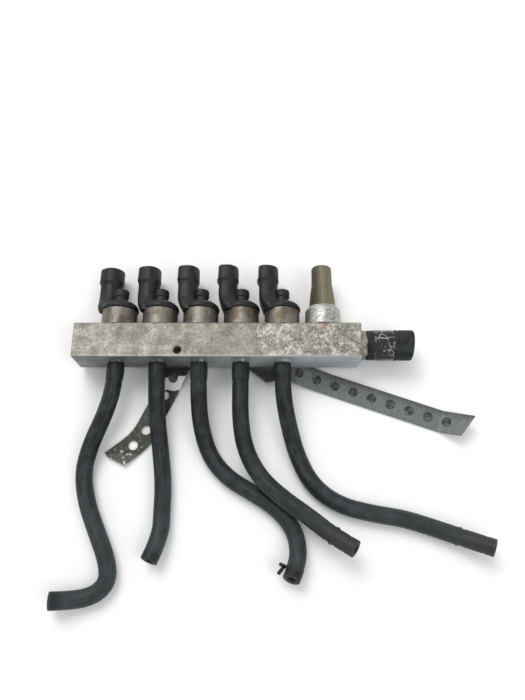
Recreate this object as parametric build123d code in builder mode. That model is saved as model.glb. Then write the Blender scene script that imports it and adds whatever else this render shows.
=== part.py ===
from build123d import *
import math
import os

# Gas injector fuel rail, lying on its back. Millimetres.
# The origin is the middle of the rail block's closed end face, on the gallery's axis.
# +X runs along the gallery to the inlet, +Y out of the injector ports, +Z out of the front face.

os.makedirs("parts", exist_ok=True)

# ---- rail block ----
last_port_to_end = 24.5
rail_side = 24.0
rail_edge = 0.5
gallery_bore = 7.0
gallery_end_wall = 14.0
first_port = 27.5
port_pitch = 28.0
injector_count = 5
port_bore = 15.0
port_depth = 17.0
outlet_passage = 4.0
mount_hole_offset = 0.5
mount_hole_below_axis = 7.3
mount_tap_drill = 5.0
mount_hole_chamfer = 0.45
blind_mount_wall = 6.0

# ---- fits ----
thread_play = 0.05
slip = 0.1

# ---- injector: steel can, valve body, moulded cap ----
can_diameter = 24.0
can_height = 12.2
can_edge = 0.8
valve_waist = 8.0
valve_seat_height = 4.0
valve_plug_height = 6.0
valve_orifice = 3.0
oring_section = 1.6
oring_below_face = 2.8
cap_diameter = 25.8
cap_lip_overlap = 1.2
cap_shoulder = 15.0
cap_dome_top = 20.6
cap_dome_mid_in = 2.6
cap_dome_mid_down = 2.4
stub_root = 1.0
stub_neck = 9.6
stub_flange = 10.6
stub_flange_low = 23.0
stub_top = 28.0
stub_edge = 0.7
cap_turns = [-22, -10, 0, 0, 0]
tower_offset = 9.4
tower_width = 13.4
tower_depth = 15.4
tower_corner = 6.0
tower_collar = 0.6
tower_collar_low = 34.0
tower_collar_taper = 3.0
tower_top = 44.8
tower_foot_low = 11.0
tower_foot_high = 22.0
tower_foot_shift = 4.4
tower_web_width = 6.0
tower_web_top = 24.0
socket_wall = 1.6
socket_depth = 13.0
latch_width = 4.0
latch_rise = 1.3
latch_length = 3.2
terminal_width = 2.8
terminal_thickness = 0.8
terminal_spacing = 5.0
terminal_height = 7.0
terminal_root = 2.0

# ---- outlet nipples and their hoses ----
nipple_thread = 8.0
nipple_port_gap = 1.0
nipple_shoulder = 11.6
nipple_shoulder_height = 1.2
nipple_tail = 5.2
nipple_tail_length = 13.0
nipple_barb = 6.2
nipple_barb_length = 3.0
nipple_barb_start = 4.0
nipple_barb_count = 2
nipple_bore = 3.0
hose_outer = 11.0
hose_bore = 5.0

# ---- sensor at the last port ----
sensor_foot = 24.6
sensor_foot_height = 1.6
sensor_shoulder = 22.4
sensor_shoulder_low = 10.4
sensor_shoulder_top = 14.6
sensor_brow_in = 0.7
sensor_brow_up = 2.5
sensor_stem_foot = 17.4
sensor_stem_waist = 13.9
sensor_stem_top = 13.2
sensor_cone_top = 31.5
sensor_top = 45.8
sensor_chamfer = 1.0
sensor_pilot = 8.0
sensor_pilot_height = 5.0

# ---- inlet fitting, its short hose and the wrapped band ----
inlet_thread = 13.0
inlet_thread_length = 10.0
inlet_hex = 17.4
inlet_hex_length = 4.0
inlet_bore = 8.0
inlet_tail = 12.4
inlet_tail_length = 20.0
inlet_barb = 13.4
inlet_barb_length = 4.0
inlet_barb_start = 4.0
inlet_barb_count = 3
inlet_hose_outer = 20.0
inlet_hose_swell = 20.8
inlet_hose_bore = 12.0
inlet_hose_relief = 1.0
inlet_hose_length = 33.2
inlet_hose_edge = 1.2
band_start = 5.0
band_length = 12.8
band_thickness = 0.4
bead_start = 18.6
bead_length = 2.0
bead_rise = 0.4

# ---- brackets: perforated steel strip, and their screws ----
strip_width = 15.0
strip_thickness = 1.5
strip_hole = 6.6
strip_hole_pitch = 13.2
screw_head = 10.5
screw_head_height = 3.3
screw_head_edge = 0.8
screw_length = 16.0
screw_socket = 4.0
screw_socket_depth = 2.0
strip_end_margin = 9.0
strip_bend_radius = 6.0
right_strip_heading = -19.0
right_strip_holes = 11
right_strip_end_run = 17.5
right_strip_drop_start = 26.0
right_strip_drop_end = 48.0
right_strip_lift_start = 128.0
right_strip_lift_angle = 32.0
right_strip_heel = [(2.8, -15.1), (-9.2, -5.7), (-9.2, 0), (8.7, 0), (8.7, -14.1)]
right_strip_tip_cut = 5.0
left_strip_heading = -115.0
left_strip_second_heading = -142.0
left_strip_straight = 60.0
left_strip_second_length = 24.0
left_strip_edge_bend = 40.0
left_strip_holes = 6
left_strip_fold_start = 17.0
left_strip_fold_end = 28.0
left_strip_tab_start = 71.0
left_strip_tab_length = 16.0
left_strip_tab_rise = 3.4
left_strip_end = (21.3, -72.5)
left_strip_end_heading = -25.2

# ---- spring clamp left on the third hose ----
clamp_thickness = 0.9
clamp_width = 5.0
clamp_from_end = 6.0
clamp_tang_width = 4.0
clamp_tangs = [(0.2, 0.0, 6.0), (2.2, 74.0, 7.0)]

# ---- sizes that follow ----
face_y = rail_side / 2
port_xs = [first_port + port_pitch * i for i in range(injector_count + 1)]
rail_length = port_xs[-1] + last_port_to_end
nipple_thread_length = rail_side - port_depth - nipple_port_gap
injector_xs = port_xs[:injector_count]
sensor_x = port_xs[injector_count]
mount_hole_first = port_xs[1] + port_pitch / 2 + mount_hole_offset
mount_hole_spacing = 2 * port_pitch
mount_xs = [mount_hole_first, mount_hole_first + mount_hole_spacing]
mount_hole_depths = [rail_side, rail_side - blind_mount_wall]
back_z = -rail_side / 2
floor_z = back_z - strip_thickness - screw_head_height
lying_z = floor_z + hose_outer / 2
clamp_lift = slip + clamp_thickness

# Each hose's route: its middle line, from the nipple's shoulder to the open end.
hose_start = -face_y - nipple_shoulder_height
hose_routes = [
    [
        (port_xs[0], hose_start, 0),
        (port_xs[0], -29, 0),
        (22, -47, -4),
        (13, -66, -9),
        (9, -84, lying_z),
        (13, -103, lying_z),
        (21, -121, lying_z),
        (29, -138, lying_z),
        (31, -150, lying_z),
        (25, -158, lying_z),
        (12, -162, lying_z),
        (-1, -162, lying_z),
    ],
    [
        (port_xs[1], hose_start, 0),
        (port_xs[1], -29, 0),
        (55, -50, -5),
        (59, -72, -10),
        (62, -92, lying_z),
        (62, -108, lying_z),
        (60, -124, lying_z),
        (56, -138, lying_z + 1),
    ],
    [
        (port_xs[2], hose_start, 0),
        (port_xs[2], -31, 0),
        (84, -54, -6),
        (91, -74, -11),
        (104, -88, lying_z),
        (120, -97, lying_z),
        (136, -107, lying_z),
        (146, -119, lying_z),
        (149, -131, lying_z),
        (147.5, -141.5, lying_z + clamp_lift),
        (144.3, -151.5, lying_z + clamp_lift),
    ],
    [
        (port_xs[3], hose_start, 0),
        (port_xs[3], -30, 0),
        (110, -51, -1),
        (114, -71, -2.5),
        (125, -89, -2.5),
        (140, -102, -2.5),
        (156, -113, -2.5),
        (170, -124, -2.5),
        (183, -132, 3),
    ],
    [
        (port_xs[4], hose_start, 0),
        (port_xs[4], -32, 0),
        (141, -52, -6),
        (147, -74, -11),
        (159, -93, lying_z),
        (176, -105, lying_z),
        (197, -110, lying_z),
        (217, -113, lying_z),
        (236, -119, lying_z),
        (253, -125, -9),
        (269, -131, -2),
    ],
]


def keep(part, name):
    """Label a finished piece and write it as its own STEP file."""
    part.label = name
    export_step(part, f"parts/{name}.step")


def upright(port_x):
    """The plane of a turned profile at a port: radius along X, height along Y from the top face."""
    return Plane(origin=(port_x, face_y, 0))


def port_axis(port_x):
    return Axis((port_x, 0, 0), (0, 1, 0))


def port_plane(port_x, height):
    """A plane square to a port's axis, this far above the top face."""
    return Plane(origin=(port_x, face_y + height, 0), x_dir=(1, 0, 0), z_dir=(0, 1, 0))


def collar_side(port_x):
    """How far out the collar of a connector tower reaches on its latch side."""
    return port_x - tower_offset - tower_width / 2 - tower_collar


def bend_radii(points):
    """For each corner of a hose's route, the largest radius that both of its runs allow."""
    radii = []
    for before, corner, after in zip(points, points[1:], points[2:]):
        run_in = Vector(*corner) - Vector(*before)
        run_out = Vector(*after) - Vector(*corner)
        half_turn = math.radians(run_in.get_angle(run_out)) / 2
        radii.append(0.45 * min(run_in.length, run_out.length) / math.tan(half_turn))
    return radii


def barbs(start, count, length, tail_radius, barb_radius):
    """Profile points of a barbed tail: each barb rises as a step and slopes down to the tail."""
    points = [(tail_radius, start)]
    for root in [start + i * length for i in range(count)]:
        points += [(barb_radius, root), (tail_radius, root + length)]
    return points


# ---- rail block: square bar with its gallery, ports and two tapped mounting holes ----
with BuildPart() as rail_block:
    with BuildSketch(Plane.YZ):
        Rectangle(rail_side, rail_side)
    extrude(amount=rail_length)
    chamfer(rail_block.edges(), rail_edge)
    with BuildSketch(Plane.YZ.offset(gallery_end_wall)):
        Circle(gallery_bore / 2)
    extrude(amount=rail_length - gallery_end_wall, mode=Mode.SUBTRACT)
    with BuildSketch(Plane.YZ.offset(rail_length)):
        Circle(inlet_thread / 2)
    extrude(amount=-inlet_thread_length, mode=Mode.SUBTRACT)
    for port_x in port_xs:
        with BuildSketch(port_plane(port_x, 0)):
            Circle(port_bore / 2)
        extrude(amount=-port_depth, mode=Mode.SUBTRACT)
    for port_x in injector_xs:
        with BuildSketch(port_plane(port_x, -rail_side)):
            Circle(nipple_thread / 2)
        extrude(amount=nipple_thread_length, mode=Mode.SUBTRACT)
        with BuildSketch(port_plane(port_x, -port_depth)):
            Circle(outlet_passage / 2)
        extrude(amount=-(rail_side - port_depth), mode=Mode.SUBTRACT)
    for mount_x, mount_hole_depth in zip(mount_xs, mount_hole_depths):
        with BuildSketch(Plane(origin=(mount_x, -mount_hole_below_axis, back_z))):
            Circle(mount_tap_drill / 2)
        extrude(amount=mount_hole_depth, mode=Mode.SUBTRACT)
    front_edges = rail_block.faces().sort_by(Axis.Z)[-1].edges()
    back_edges = rail_block.faces().sort_by(Axis.Z)[0].edges()
    chamfer((front_edges + back_edges).filter_by(GeomType.CIRCLE), mount_hole_chamfer)
keep(rail_block.part, "rail_block")

# ---- injectors: valve body and seal in the port, steel can, moulded cap, terminals ----
plug_radius = port_bore / 2 - slip
groove_radius = port_bore / 2 - oring_section - slip
groove_top = -oring_below_face
groove_bottom = groove_top - oring_section - 2 * slip
collar_size = (tower_width + 2 * tower_collar, tower_depth + 2 * tower_collar)
socket_size = [side - 2 * socket_wall for side in collar_size]
socket_floor = tower_top - socket_depth

for number, (port_x, cap_turn) in enumerate(zip(injector_xs, cap_turns), start=1):
    with BuildPart() as injector_valve:
        with BuildSketch(upright(port_x)):
            with BuildLine():
                Polyline(
                    (0, 0),
                    (plug_radius, 0),
                    (plug_radius, groove_top),
                    (groove_radius, groove_top),
                    (groove_radius, groove_bottom),
                    (plug_radius, groove_bottom),
                    (plug_radius, -valve_plug_height),
                    (valve_waist / 2, -valve_plug_height),
                    (valve_waist / 2, valve_seat_height - port_depth),
                    (plug_radius, valve_seat_height - port_depth),
                    (plug_radius, -port_depth),
                    (0, -port_depth),
                    close=True,
                )
            make_face()
        revolve(axis=port_axis(port_x))
        with BuildSketch(port_plane(port_x, -port_depth)):
            Circle(valve_orifice / 2)
        extrude(amount=port_depth - valve_plug_height, mode=Mode.SUBTRACT)
        with BuildSketch(Plane.YZ.offset(port_x)):
            with Locations((face_y - (valve_plug_height + port_depth - valve_seat_height) / 2, 0)):
                Circle(valve_orifice / 2)
        extrude(amount=valve_waist / 2, both=True, mode=Mode.SUBTRACT)
    keep(injector_valve.part, f"injector_valve_{number}")

    with BuildPart() as injector_can:
        with BuildSketch(port_plane(port_x, 0)):
            Circle(can_diameter / 2)
        extrude(amount=can_height)
        fillet(injector_can.edges().group_by(Axis.Y)[-1], can_edge)
    keep(injector_can.part, f"injector_can_{number}")

    with BuildPart() as injector_cap:
        # The lip, dome and stub, turned about the port's axis.
        with BuildSketch(upright(port_x)):
            with BuildLine():
                dome = ThreePointArc(
                    (cap_diameter / 2, cap_shoulder),
                    (cap_diameter / 2 - cap_dome_mid_in, cap_dome_top - cap_dome_mid_down),
                    (stub_neck / 2 + stub_root, cap_dome_top),
                )
                Polyline(
                    dome @ 1,
                    (stub_neck / 2, cap_dome_top + stub_root),
                    (stub_neck / 2, stub_flange_low),
                    (stub_flange / 2, stub_flange_low + stub_edge),
                    (stub_flange / 2, stub_top - stub_edge),
                    (stub_flange / 2 - stub_edge, stub_top),
                    (0, stub_top),
                    (0, can_height - cap_lip_overlap),
                    (cap_diameter / 2, can_height - cap_lip_overlap),
                    dome @ 0,
                )
            make_face()
        revolve(axis=port_axis(port_x))
        # The connector tower beside the stub, from its leaning foot up to the collar.
        tower = port_plane(port_x - tower_offset, tower_foot_high)
        foot = port_plane(port_x - tower_offset + tower_foot_shift, tower_foot_low)
        with BuildSketch(foot):
            RectangleRounded(tower_width, tower_depth, tower_corner)
        with BuildSketch(tower):
            RectangleRounded(tower_width, tower_depth, tower_corner)
        loft()
        with BuildSketch(tower):
            RectangleRounded(tower_width, tower_depth, tower_corner)
        extrude(amount=tower_top - tower_foot_high)
        with BuildSketch(port_plane(port_x - tower_offset, tower_collar_low - tower_collar_taper)):
            RectangleRounded(tower_width, tower_depth, tower_corner)
        with BuildSketch(port_plane(port_x - tower_offset, tower_collar_low)) as collar:
            RectangleRounded(*collar_size, tower_corner + tower_collar)
        loft()
        extrude(collar.sketch, amount=tower_top - tower_collar_low)
        with BuildSketch(port_plane(port_x - tower_offset / 2, cap_shoulder)):
            Rectangle(tower_offset, tower_web_width)
        extrude(amount=tower_web_top - cap_shoulder)
        # The small latch that holds a plug, on the collar's outer side.
        with BuildSketch(Plane.XY.offset(-latch_width / 2)):
            with BuildLine():
                Polyline(
                    (port_x - tower_offset, face_y + tower_collar_low),
                    (collar_side(port_x), face_y + tower_collar_low),
                    (collar_side(port_x) - latch_rise, face_y + tower_collar_low + latch_rise),
                    (collar_side(port_x), face_y + tower_collar_low + latch_length),
                    (port_x - tower_offset, face_y + tower_collar_low + latch_length),
                    close=True,
                )
            make_face()
        extrude(amount=latch_width)
        with BuildSketch(port_plane(port_x - tower_offset, tower_top)):
            RectangleRounded(*socket_size, tower_corner + tower_collar - socket_wall)
        extrude(amount=-socket_depth, mode=Mode.SUBTRACT)
        with BuildSketch(port_plane(port_x - tower_offset, socket_floor - terminal_root)):
            with GridLocations(terminal_spacing, 0, 2, 1):
                Rectangle(terminal_thickness, terminal_width)
        extrude(amount=terminal_root, mode=Mode.SUBTRACT)
        # The can fills the cap's underside.
        with BuildSketch(port_plane(port_x, 0)):
            Circle(can_diameter / 2)
        extrude(amount=can_height, mode=Mode.SUBTRACT)
    keep(injector_cap.part.rotate(port_axis(port_x), cap_turn), f"injector_cap_{number}")

    with BuildPart() as injector_terminals:
        with BuildSketch(port_plane(port_x - tower_offset, socket_floor - terminal_root)):
            with GridLocations(terminal_spacing, 0, 2, 1):
                Rectangle(terminal_thickness, terminal_width)
        extrude(amount=terminal_root + terminal_height)
    keep(injector_terminals.part.rotate(port_axis(port_x), cap_turn), f"injector_terminals_{number}")

# ---- seals: one ring in each port's groove ----
for number, port_x in enumerate(port_xs, start=1):
    with BuildPart() as port_seal:
        with BuildSketch(upright(port_x)):
            with Locations((port_bore / 2 - oring_section / 2 - slip / 2, (groove_top + groove_bottom) / 2)):
                Circle(oring_section / 2 - slip / 2)
        revolve(axis=port_axis(port_x))
    keep(port_seal.part, f"port_seal_{number}")

# ---- outlet nipples: screwed into the underside, with a barbed tail in each hose ----
nipple_barbs = barbs(
    nipple_shoulder_height + nipple_barb_start,
    nipple_barb_count,
    nipple_barb_length,
    nipple_tail / 2,
    nipple_barb / 2,
)

for number, port_x in enumerate(injector_xs, start=1):
    with BuildPart() as outlet_nipple:
        with BuildSketch(Plane(origin=(port_x, -face_y, 0), x_dir=(1, 0, 0), z_dir=(0, 0, -1))):
            with BuildLine():
                Polyline(
                    (nipple_bore / 2, -nipple_thread_length + thread_play),
                    (nipple_thread / 2 - thread_play, -nipple_thread_length + thread_play),
                    (nipple_thread / 2 - thread_play, 0),
                    (nipple_shoulder / 2, 0),
                    (nipple_shoulder / 2, nipple_shoulder_height),
                    (nipple_tail / 2, nipple_shoulder_height),
                    *nipple_barbs,
                    (nipple_tail / 2, nipple_shoulder_height + nipple_tail_length),
                    (nipple_bore / 2, nipple_shoulder_height + nipple_tail_length),
                    close=True,
                )
            make_face()
        revolve(axis=port_axis(port_x))
    keep(outlet_nipple.part, f"outlet_nipple_{number}")

# ---- outlet hoses: tubes of straight runs joined by arcs, pushed over the nipples ----
for number, (port_x, route) in enumerate(zip(injector_xs, hose_routes), start=1):
    radii = bend_radii(route)
    with BuildPart() as outlet_hose:
        with BuildLine():
            middle = FilletPolyline(*route, radius=radii)
        with BuildSketch(Plane(origin=route[0], x_dir=(1, 0, 0), z_dir=(0, -1, 0))):
            Circle(hose_outer / 2)
            Circle(hose_bore / 2, mode=Mode.SUBTRACT)
        sweep(path=middle)
        section = math.pi * (hose_outer**2 - hose_bore**2) / 4
        fill = outlet_hose.part.volume / (section * middle.length)
        # The bore opens to the barbed tail's own outline.
        with BuildSketch(Plane(origin=(port_x, -face_y, 0), x_dir=(1, 0, 0), z_dir=(0, 0, -1))):
            with BuildLine():
                Polyline(
                    (0, nipple_shoulder_height),
                    (nipple_tail / 2, nipple_shoulder_height),
                    *nipple_barbs,
                    (nipple_tail / 2, nipple_shoulder_height + nipple_tail_length),
                    (0, nipple_shoulder_height + nipple_tail_length),
                    close=True,
                )
            make_face()
        revolve(axis=port_axis(port_x), mode=Mode.SUBTRACT)
    keep(outlet_hose.part, f"outlet_hose_{number}")
    print(f"hose {number}: {middle.length:.0f} mm, volume / (section x length) {fill:.4f}")
    print("  radii", [round(radius) for radius in radii])

# ---- sensor: a foot screwed into the last port and the stem on it ----
with BuildPart() as sensor_body:
    with BuildSketch(upright(sensor_x)):
        with BuildLine():
            brow = ThreePointArc(
                (sensor_shoulder / 2, sensor_shoulder_low),
                (sensor_shoulder / 2 - sensor_brow_in, sensor_shoulder_low + sensor_brow_up),
                (sensor_stem_foot / 2, sensor_shoulder_top),
            )
            Polyline(
                brow @ 1,
                (sensor_pilot / 2 + slip, sensor_shoulder_top),
                (sensor_pilot / 2 + slip, sensor_shoulder_top - sensor_pilot_height),
                (0, sensor_shoulder_top - sensor_pilot_height),
                (0, -valve_plug_height),
                (plug_radius, -valve_plug_height),
                (plug_radius, groove_bottom),
                (groove_radius, groove_bottom),
                (groove_radius, groove_top),
                (plug_radius, groove_top),
                (plug_radius, 0),
                (sensor_foot / 2, 0),
                (sensor_foot / 2, sensor_foot_height),
                brow @ 0,
            )
        make_face()
    revolve(axis=port_axis(sensor_x))
keep(sensor_body.part, "sensor_body")

with BuildPart() as sensor_stem:
    with BuildSketch(upright(sensor_x)):
        with BuildLine():
            Polyline(
                (0, sensor_shoulder_top - sensor_pilot_height),
                (sensor_pilot / 2, sensor_shoulder_top - sensor_pilot_height),
                (sensor_pilot / 2, sensor_shoulder_top),
                (sensor_stem_foot / 2, sensor_shoulder_top),
                (sensor_stem_waist / 2, sensor_cone_top),
                (sensor_stem_top / 2, sensor_top - sensor_chamfer),
                (sensor_stem_top / 2 - sensor_chamfer, sensor_top),
                (0, sensor_top),
                close=True,
            )
        make_face()
    revolve(axis=port_axis(sensor_x))
keep(sensor_stem.part, "sensor_stem")

# ---- inlet: hexagon fitting, short thick hose, wrapped band ----
hose_x = rail_length + inlet_hex_length
inlet_barbs = barbs(
    hose_x + inlet_barb_start,
    inlet_barb_count,
    inlet_barb_length,
    inlet_tail / 2,
    inlet_barb / 2,
)
inlet_tail_end = hose_x + inlet_tail_length

with BuildPart() as inlet_fitting:
    with BuildSketch(Plane.YZ.offset(rail_length)):
        RegularPolygon(inlet_hex / 2, 6, major_radius=False, rotation=90)
    extrude(amount=inlet_hex_length)
    with BuildSketch(Plane.XY):
        with BuildLine():
            Polyline(
                (rail_length - inlet_thread_length, 0),
                (rail_length - inlet_thread_length, inlet_thread / 2 - thread_play),
                (rail_length, inlet_thread / 2 - thread_play),
                (rail_length, inlet_tail / 2),
                *[(along, radius) for radius, along in inlet_barbs],
                (inlet_tail_end, inlet_tail / 2),
                (inlet_tail_end, 0),
                close=True,
            )
        make_face()
    revolve(axis=Axis.X)
    with BuildSketch(Plane.YZ.offset(rail_length - inlet_thread_length)):
        Circle(inlet_bore / 2)
    extrude(amount=inlet_tail_end - rail_length + inlet_thread_length, mode=Mode.SUBTRACT)
keep(inlet_fitting.part, "inlet_fitting")

with BuildPart() as inlet_hose:
    with BuildSketch(Plane.XY):
        with BuildLine():
            bead_x = hose_x + bead_start
            hose_end = hose_x + inlet_hose_length
            Polyline(
                (hose_x, inlet_tail / 2),
                (hose_x, inlet_hose_outer / 2),
                (bead_x, inlet_hose_outer / 2),
                (bead_x, inlet_hose_outer / 2 + bead_rise),
                (bead_x + bead_length, inlet_hose_outer / 2 + bead_rise),
                (bead_x + bead_length, inlet_hose_outer / 2),
                (bead_x + bead_length + bead_rise, inlet_hose_swell / 2),
                (hose_end - inlet_hose_edge, inlet_hose_swell / 2),
                (hose_end, inlet_hose_swell / 2 - inlet_hose_edge),
                (hose_end, inlet_hose_bore / 2),
                (inlet_tail_end + inlet_hose_relief, inlet_hose_bore / 2),
                (inlet_tail_end, inlet_tail / 2),
                *[(along, radius) for radius, along in reversed(inlet_barbs)],
                close=True,
            )
        make_face()
    revolve(axis=Axis.X)
keep(inlet_hose.part, "inlet_hose")

with BuildPart() as inlet_band:
    with BuildSketch(Plane.YZ.offset(hose_x + band_start)):
        Circle(inlet_hose_outer / 2 + band_thickness)
        Circle(inlet_hose_outer / 2, mode=Mode.SUBTRACT)
    extrude(amount=band_length)
keep(inlet_band.part, "inlet_band")

# ---- brackets: perforated strips bent by hand and screwed to the back ----
strip_z = back_z - strip_thickness / 2
floor_drop = screw_head_height

right_heading = Vector(1, 0, 0).rotate(Axis.Z, right_strip_heading)
right_side = Vector(0, 1, 0).rotate(Axis.Z, right_strip_heading)
right_screw = Vector(mount_xs[1], -mount_hole_below_axis, strip_z)
lift = math.radians(right_strip_lift_angle)
right_span = (right_strip_holes - 1) * strip_hole_pitch
right_rise_run = right_span + right_strip_end_run - right_strip_lift_start

with BuildPart() as bracket_right:
    with BuildLine():
        right_profile = FilletPolyline(
            right_screw - right_heading * strip_end_margin,
            right_screw + right_heading * right_strip_drop_start,
            right_screw + right_heading * right_strip_drop_end - Vector(0, 0, floor_drop),
            right_screw + right_heading * right_strip_lift_start - Vector(0, 0, floor_drop),
            right_screw
            + right_heading * (right_strip_lift_start + right_rise_run * math.cos(lift))
            + Vector(0, 0, right_rise_run * math.sin(lift) - floor_drop),
            radius=strip_bend_radius,
        )
    with BuildSketch(Plane(origin=right_profile @ 0, x_dir=right_side, z_dir=right_heading)):
        Rectangle(strip_width, strip_thickness)
    sweep(path=right_profile)
    # The broad heel beside the screw.
    with BuildSketch(Plane(origin=(mount_xs[1], -mount_hole_below_axis, back_z))):
        with BuildLine():
            Polyline(*right_strip_heel, close=True)
        make_face()
    extrude(amount=-strip_thickness)
    # The far end was cut off at a slant.
    far_corner = right_profile @ 1 - right_side * strip_width / 2
    far_plane = Plane(origin=(far_corner.X, far_corner.Y, floor_z), x_dir=right_heading)
    with BuildSketch(far_plane):
        with BuildLine():
            Polyline(
                (-right_strip_tip_cut, 0),
                (0, strip_width),
                (strip_width, strip_width),
                (strip_width, 0),
                close=True,
            )
        make_face()
    extrude(amount=rail_side, mode=Mode.SUBTRACT)
    for hole in range(right_strip_holes):
        along = strip_end_margin + hole * strip_hole_pitch
        middle_point = right_profile.position_at(along, position_mode=PositionMode.LENGTH)
        tangent = right_profile.tangent_at(along, position_mode=PositionMode.LENGTH)
        with BuildSketch(Plane(origin=middle_point, x_dir=right_side, z_dir=tangent.cross(right_side))):
            Circle(strip_hole / 2)
        extrude(amount=strip_thickness, both=True, mode=Mode.SUBTRACT)
keep(bracket_right.part, "bracket_right")

left_heading = Vector(1, 0, 0).rotate(Axis.Z, left_strip_heading)
left_second = Vector(1, 0, 0).rotate(Axis.Z, left_strip_second_heading)
left_screw = Vector(mount_xs[0], -mount_hole_below_axis, 0)
strip_top = back_z
strip_low = floor_z + strip_thickness

with BuildPart() as bracket_left:
    # The strip's curved plan, swept tall, then cut to its folded side view.
    with BuildLine():
        left_plan = FilletPolyline(
            left_screw - left_heading * strip_end_margin,
            left_screw + left_heading * left_strip_straight,
            left_screw + left_heading * left_strip_straight + left_second * left_strip_second_length,
            radius=left_strip_edge_bend,
        )
    with BuildSketch(Plane(origin=left_plan @ 0, x_dir=(0, 0, 1), z_dir=left_heading)):
        Rectangle(2 * rail_side, strip_width)
    sweep(path=left_plan)
    with BuildSketch(Plane.YZ):
        with BuildLine():
            Polyline(
                (rail_side, strip_top),
                (-left_strip_fold_start, strip_top),
                (-left_strip_fold_end, strip_low),
                (-left_strip_tab_start, strip_low),
                (-left_strip_tab_start - left_strip_tab_length, strip_low + left_strip_tab_rise),
                (-left_strip_tab_start - left_strip_tab_length, floor_z + left_strip_tab_rise),
                (-left_strip_tab_start, floor_z),
                (-left_strip_fold_end, floor_z),
                (-left_strip_fold_start, strip_top - strip_thickness),
                (rail_side, strip_top - strip_thickness),
                close=True,
            )
        make_face()
    extrude(amount=rail_length, mode=Mode.INTERSECT)
    left_cut = Vector(1, 0, 0).rotate(Axis.Z, left_strip_end_heading)
    with BuildSketch(Plane(origin=(*left_strip_end, floor_z), x_dir=left_cut)):
        Rectangle(rail_length, strip_width, align=(Align.CENTER, Align.MAX))
    extrude(amount=rail_side, mode=Mode.SUBTRACT)
    for hole in range(left_strip_holes):
        along = strip_end_margin + hole * strip_hole_pitch
        middle_point = left_plan.position_at(along, position_mode=PositionMode.LENGTH)
        with BuildSketch(Plane(origin=(middle_point.X, middle_point.Y, floor_z))):
            Circle(strip_hole / 2)
        extrude(amount=rail_side, mode=Mode.SUBTRACT)
keep(bracket_left.part, "bracket_left")

with BuildPart() as bracket_screws:
    for mount_x in mount_xs:
        with BuildSketch(Plane(origin=(mount_x, -mount_hole_below_axis, floor_z))):
            Circle(screw_head / 2)
        extrude(amount=screw_head_height)
        with BuildSketch(Plane(origin=(mount_x, -mount_hole_below_axis, floor_z + screw_head_height))):
            Circle(mount_tap_drill / 2 - thread_play)
        extrude(amount=screw_length)
        with BuildSketch(Plane(origin=(mount_x, -mount_hole_below_axis, floor_z))):
            RegularPolygon(screw_socket / 2, 6, major_radius=False)
        extrude(amount=screw_socket_depth, mode=Mode.SUBTRACT)
    lowest_edges = bracket_screws.edges().group_by(Axis.Z)[0]
    fillet(lowest_edges.filter_by(GeomType.CIRCLE), screw_head_edge)
keep(bracket_screws.part, "bracket_screws")

# ---- spring clamp on the third hose: a band with two tangs ----
clamp_hose = hose_routes[2]
clamp_way = (Vector(*clamp_hose[-1]) - Vector(*clamp_hose[-2])).normalized()
clamp_middle = Vector(*clamp_hose[-1]) - clamp_way * clamp_from_end
clamp_out = clamp_way.cross(Vector(0, 0, 1))
clamp_band_radius = hose_outer / 2 + clamp_lift
with BuildPart() as hose_clamp:
    with BuildSketch(Plane(origin=clamp_middle, z_dir=clamp_way)):
        Circle(clamp_band_radius)
        Circle(hose_outer / 2 + slip, mode=Mode.SUBTRACT)
    extrude(amount=clamp_width / 2, both=True)
    # Its two ends stand out as tangs, one straight and one turned along the hose.
    for stand_off, turn, length in clamp_tangs:
        tang_foot = clamp_middle + clamp_out * (hose_outer / 2 + stand_off)
        with BuildSketch(Plane(origin=tang_foot, x_dir=clamp_out.rotate(Axis.Z, turn))):
            Rectangle(length, clamp_thickness, align=(Align.MIN, Align.CENTER))
        extrude(amount=clamp_tang_width / 2, both=True)
keep(hose_clamp.part, "hose_clamp")
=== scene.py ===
import math

import bmesh
import bpy
from mathutils import Matrix, Vector, noise


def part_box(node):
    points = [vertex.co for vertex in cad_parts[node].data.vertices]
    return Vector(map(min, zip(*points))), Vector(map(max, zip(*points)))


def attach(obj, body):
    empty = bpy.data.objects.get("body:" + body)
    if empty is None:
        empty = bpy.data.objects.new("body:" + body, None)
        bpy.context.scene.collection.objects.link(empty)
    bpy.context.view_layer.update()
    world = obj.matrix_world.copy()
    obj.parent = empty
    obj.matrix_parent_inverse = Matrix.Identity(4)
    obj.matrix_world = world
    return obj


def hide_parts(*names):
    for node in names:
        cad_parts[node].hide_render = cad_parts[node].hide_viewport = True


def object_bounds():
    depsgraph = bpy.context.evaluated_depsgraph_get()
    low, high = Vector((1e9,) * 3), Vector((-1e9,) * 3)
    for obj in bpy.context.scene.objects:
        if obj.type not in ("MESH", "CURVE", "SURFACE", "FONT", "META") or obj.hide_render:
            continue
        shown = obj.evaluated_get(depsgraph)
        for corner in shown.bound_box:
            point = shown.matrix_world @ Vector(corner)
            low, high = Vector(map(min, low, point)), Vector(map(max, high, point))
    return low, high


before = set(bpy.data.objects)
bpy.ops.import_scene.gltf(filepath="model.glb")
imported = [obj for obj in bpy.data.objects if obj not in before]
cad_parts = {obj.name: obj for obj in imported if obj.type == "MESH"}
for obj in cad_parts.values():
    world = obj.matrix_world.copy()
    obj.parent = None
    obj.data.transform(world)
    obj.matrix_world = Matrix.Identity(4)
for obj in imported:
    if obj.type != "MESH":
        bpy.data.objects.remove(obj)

bl_info = {
    "name": "Gas injector fuel rail",
    "version": (1, 0, 0),
    "blender": (4, 5, 0),
    "location": "3D View > Sidebar > Fuel Rail",
    "description": "Finishes the packed fuel rail: hoses, injector caps, tape, metals and stage",
    "category": "Object",
}

MM = 0.001
CAD_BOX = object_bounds()
TOP_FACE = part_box("rail_block")[1][1] / MM

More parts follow.
